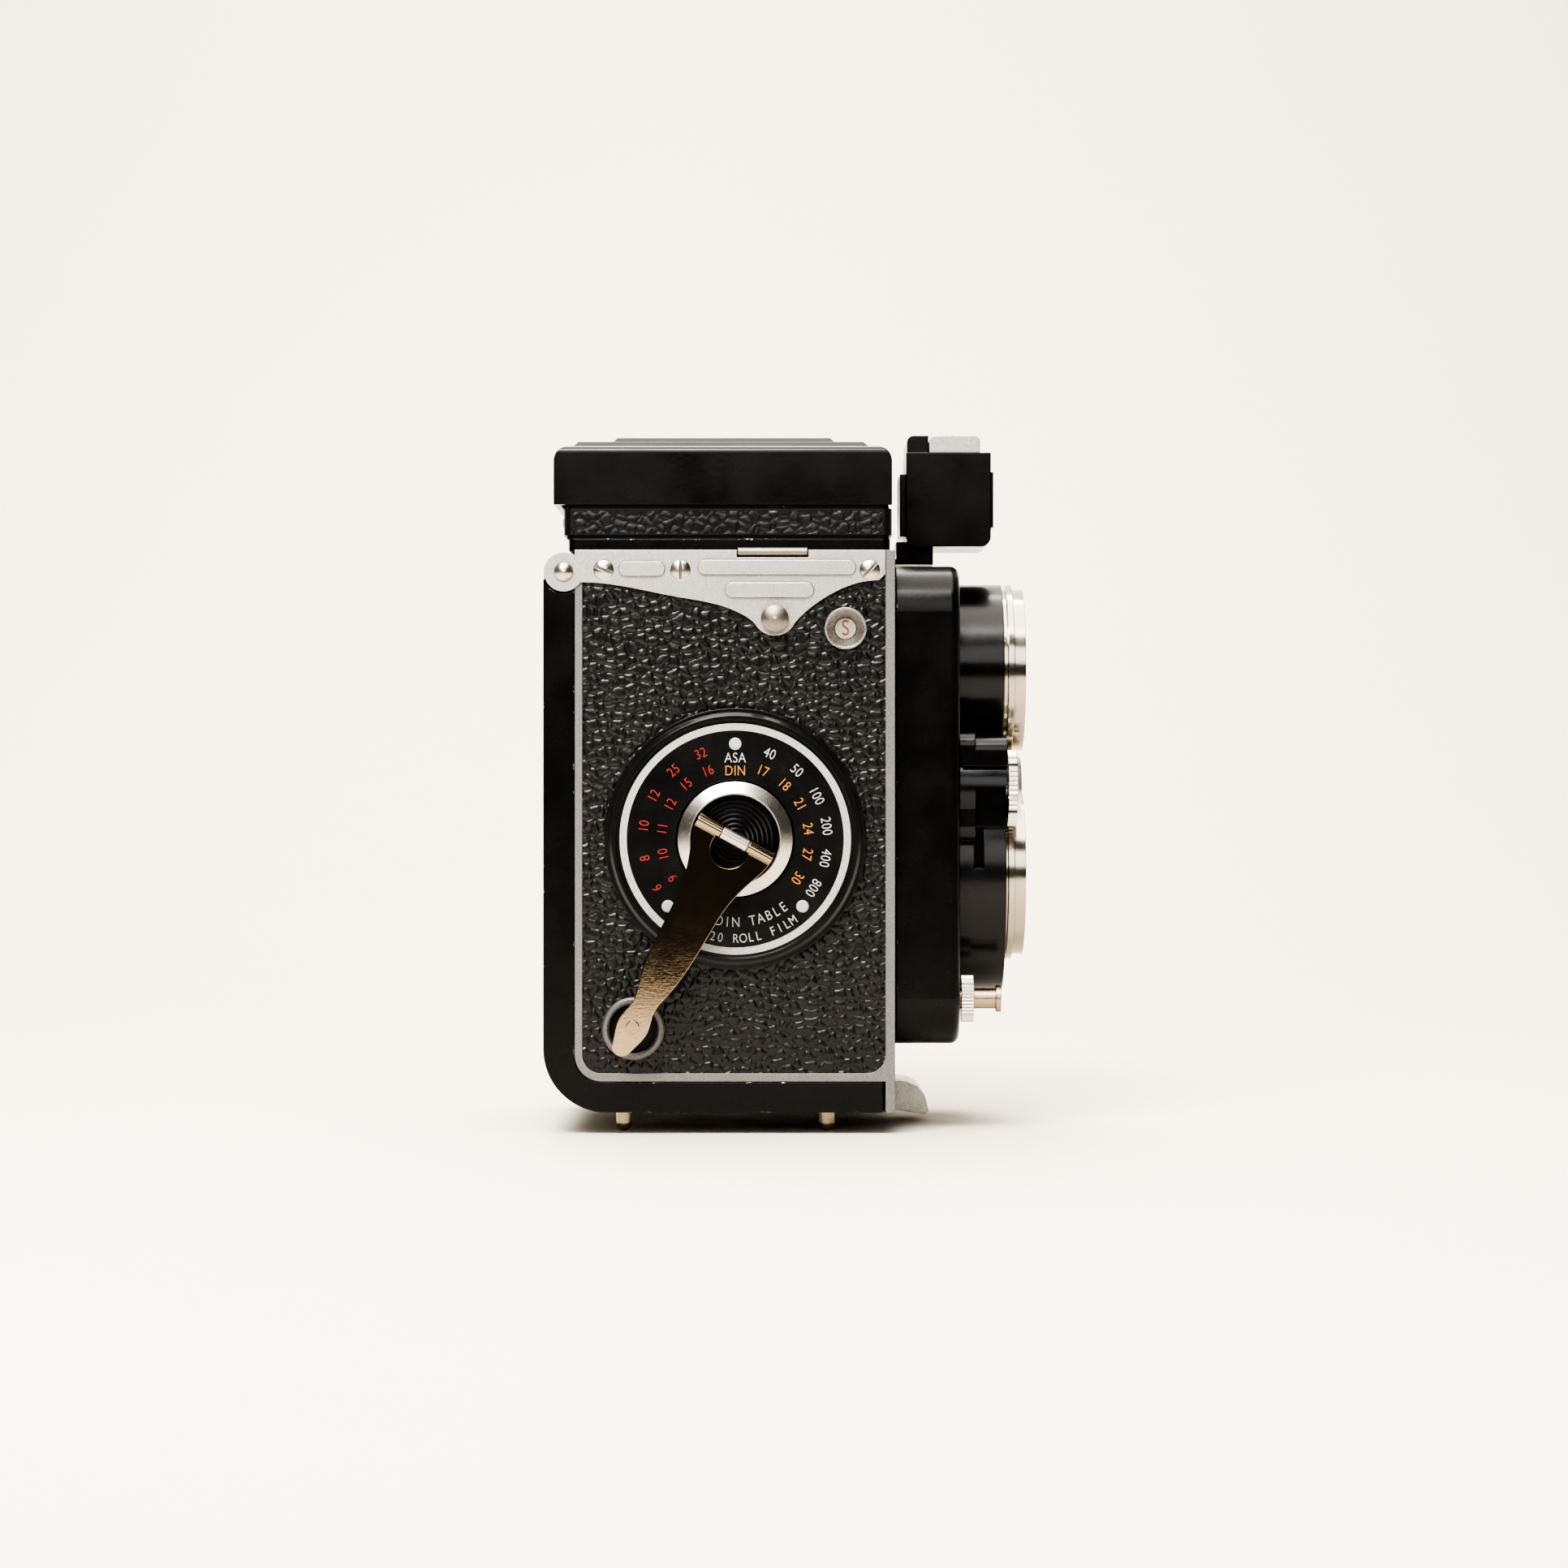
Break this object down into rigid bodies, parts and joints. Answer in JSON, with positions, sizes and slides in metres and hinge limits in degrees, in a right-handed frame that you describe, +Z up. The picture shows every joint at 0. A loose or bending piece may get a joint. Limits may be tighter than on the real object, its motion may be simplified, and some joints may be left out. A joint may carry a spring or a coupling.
{
  "type": "twin lens reflex camera",
  "caption": "Box-shaped twin lens reflex camera with stacked lenses, a folding waist-level hood, a side winding crank, a focusing knob and a swing-open film back.",
  "frame": {"origin": "mouth of the tripod socket, in the middle of the base", "axes": "+Z up, the lenses face -Y, the winding crank is on the -X side"},
  "size_m": [0.0896, 0.1025, 0.1488],
  "materials": {
    "black_paint": "semi-gloss black enamel, worn at the edges",
    "inner_black": "matt black",
    "leather": "coarse black pebble grain",
    "satin_silver": "satin anodised, dirt in the edges",
    "chrome": "polished with stains",
    "steel": "brushed",
    "brass": "machined",
    "aluminium": "machined",
    "glass": "coated lens glass",
    "screen_glass": "ground glass",
    "mirror_face": "front-silvered",
    "dial_enamel": "gloss black with filled numbers",
    "spool_plastic": "matt",
    "cell_plastic": "ribbed"
  },
  "bodies": {
    "body": {"body_casting": "inner_black", "dark_chamber": "inner_black", "mirror": "mirror_face", "focusing_screen": "screen_glass", "side_borders": "satin_silver", "side_leathers": "leather", "side_plates": "satin_silver", "plate_screws": "chrome", "strap_lugs": "chrome", "back_hinge_pin": "chrome", "front_toe": "satin_silver", "dial_disc": "dial_enamel", "parking_ring": "steel", "counter_bezel": "chrome", "counter_window": "glass", "hood_base": "inner_black", "hood_leather": "leather", "hood_rods": "steel", "meter_box": "black_paint", "meter_cell": "cell_plastic", "meter_cover": "satin_silver"},
    "back": {"back_cover": "black_paint", "back_leather": "leather", "pressure_plate": "inner_black", "tripod_socket": "steel", "feet": "chrome"},
    "lock_ring": {"back_lock_ring": "satin_silver"},
    "tongue": {"latch_tongue": "steel"},
    "standard": {"front_standard": "black_paint", "lens_housing": "black_paint", "lens_rings": "chrome", "lens_cells": "inner_black", "lens_glasses": "glass", "shutter_blades": "inner_black", "sync_socket": "steel"},
    "aperture_wheel": {"aperture_wheel": "chrome"},
    "speed_wheel": {"speed_wheel": "chrome"},
    "release_collar": {"release_collar": "chrome"},
    "release_button": {"release_button": "chrome", "release_spring": "steel"},
    "crank": {"crank_hub": "chrome"},
    "crank_arm": {"crank_arm": "chrome"},
    "crank_knob": {"crank_knob": "chrome"},
    "idler": {"idler_gear": "brass"},
    "takeup": {"takeup_gear": "brass", "takeup_spool": "spool_plastic"},
    "supply": {"supply_spool": "spool_plastic"},
    "upper_knob": {"spool_knob_upper": "chrome"},
    "lower_knob": {"spool_knob_lower": "chrome"},
    "lower_roller": {"lower_roller": "steel"},
    "upper_roller": {"upper_roller": "steel"},
    "counter_dial": {"counter_dial": "dial_enamel"},
    "focus_knob": {"focus_knob": "black_paint"},
    "lid": {"hood_lid": "black_paint", "magnifier_frame": "inner_black", "magnifier_glass": "glass"},
    "hood_left": {"hood_side_left": "inner_black"},
    "hood_right": {"hood_side_right": "inner_black"},
    "hood_back": {"hood_back_panel": "inner_black"},
    "hood_catch": {"hood_catch": "black_paint"}
  },
  "joints": [
    {"name": "back_swing", "type": "hinge", "parent": "body", "child": "back", "pos_m": [0, 0.0326, 0.1134], "axis": [1, 0, 0], "range_deg": [0, 100]},
    {"name": "lock_turn", "type": "hinge", "parent": "back", "child": "lock_ring", "pos_m": [0, 0, 0], "axis": [0, 0, 1], "range_deg": [0, 60]},
    {"name": "tongue_slide", "type": "slide", "parent": "back", "child": "tongue", "axis": [0, 1, 0], "range_m": [0, 0.003]},
    {"name": "focus_slide", "type": "slide", "parent": "body", "child": "standard", "axis": [0, -1, 0], "range_m": [0, 0.009]},
    {"name": "focus_turn", "type": "hinge", "parent": "body", "child": "focus_knob", "pos_m": [0.036, -0.008, 0.054], "axis": [1, 0, 0], "range_deg": [0, 300]},
    {"name": "aperture_turn", "type": "hinge", "parent": "standard", "child": "aperture_wheel", "pos_m": [0.022, -0.061, 0.068], "axis": [0, -1, 0], "range_deg": [0, 180]},
    {"name": "speed_turn", "type": "hinge", "parent": "standard", "child": "speed_wheel", "pos_m": [-0.022, -0.061, 0.068], "axis": [0, -1, 0], "range_deg": [0, 270]},
    {"name": "collar_turn", "type": "hinge", "parent": "standard", "child": "release_collar", "pos_m": [-0.025, -0.052, 0.0233], "axis": [0, -1, 0], "range_deg": [0, 45]},
    {"name": "release_press", "type": "slide", "parent": "standard", "child": "release_button", "axis": [0, 1, 0], "range_m": [0, 0.003], "stiffness_N_per_m": 400, "springref_m": -0.002, "deforming": ["release_spring"]},
    {"name": "crank_turn", "type": "hinge", "parent": "body", "child": "crank", "pos_m": [-0.04, -0.0034, 0.0574], "axis": [1, 0, 0], "continuous": true},
    {"name": "crank_unfold", "type": "hinge", "parent": "crank", "child": "crank_arm", "pos_m": [-0.0445, -0.0034, 0.0574], "axis": [0, 0.878, 0.4787], "range_deg": [0, 180]},
    {"name": "knob_spin", "type": "hinge", "parent": "crank_arm", "child": "crank_knob", "pos_m": [-0.0445, 0.01781, 0.01851], "axis": [1, 0, 0], "continuous": true},
    {"name": "idler_turn", "type": "hinge", "parent": "body", "child": "idler", "pos_m": [-0.033, 0.00825, 0.07366], "axis": [1, 0, 0], "continuous": true},
    {"name": "takeup_turn", "type": "hinge", "parent": "body", "child": "takeup", "pos_m": [-0.033, 0.0115, 0.0883], "axis": [1, 0, 0], "continuous": true},
    {"name": "supply_turn", "type": "hinge", "parent": "body", "child": "supply", "pos_m": [0, -0.021, 0.0192], "axis": [1, 0, 0], "continuous": true},
    {"name": "upper_knob_pull", "type": "slide", "parent": "body", "child": "upper_knob", "axis": [1, 0, 0], "range_m": [0, 0.005]},
    {"name": "lower_knob_pull", "type": "slide", "parent": "body", "child": "lower_knob", "axis": [1, 0, 0], "range_m": [0, 0.005]},
    {"name": "lower_roller_turn", "type": "hinge", "parent": "body", "child": "lower_roller", "pos_m": [0, 0.025, 0.0178], "axis": [1, 0, 0], "continuous": true},
    {"name": "upper_roller_turn", "type": "hinge", "parent": "body", "child": "upper_roller", "pos_m": [0, 0.025, 0.0803], "axis": [1, 0, 0], "continuous": true},
    {"name": "counter_turn", "type": "hinge", "parent": "body", "child": "counter_dial", "pos_m": [-0.033, -0.0219, 0.1015], "axis": [1, 0, 0], "continuous": true},
    {"name": "lid_open", "type": "hinge", "parent": "body", "child": "lid", "pos_m": [0, -0.0344, 0.1366], "axis": [1, 0, 0], "range_deg": [0, 90]},
    {"name": "hood_left_fold", "type": "hinge", "parent": "body", "child": "hood_left", "pos_m": [-0.0309, 0, 0.129], "axis": [0, -1, 0], "range_deg": [0, 90]},
    {"name": "hood_right_fold", "type": "hinge", "parent": "body", "child": "hood_right", "pos_m": [0.0309, 0, 0.129], "axis": [0, 1, 0], "range_deg": [0, 90]},
    {"name": "hood_back_fold", "type": "hinge", "parent": "body", "child": "hood_back", "pos_m": [0, 0.0299, 0.1312], "axis": [-1, 0, 0], "range_deg": [0, 90]},
    {"name": "catch_press", "type": "slide", "parent": "body", "child": "hood_catch", "axis": [0, -1, 0], "range_m": [0, 0.0007], "stiffness_N_per_m": 300, "springref_m": -0.001}
  ],
  "couplings": [
    {"joint": "tongue_slide", "follows": "lock_turn", "m_per_rad": 0.0028648},
    {"joint": "focus_turn", "follows": "focus_slide", "rad_per_m": 581.78},
    {"joint": "idler_turn", "follows": "crank_turn", "ratio": -2.3333},
    {"joint": "takeup_turn", "follows": "crank_turn", "ratio": 1.5556},
    {"joint": "counter_turn", "follows": "crank_turn", "ratio": -0.083333},
    {"joint": "hood_left_fold", "follows": "lid_open", "ratio": 1},
    {"joint": "hood_right_fold", "follows": "lid_open", "ratio": 1},
    {"joint": "hood_back_fold", "follows": "lid_open", "ratio": 1}
  ]
}
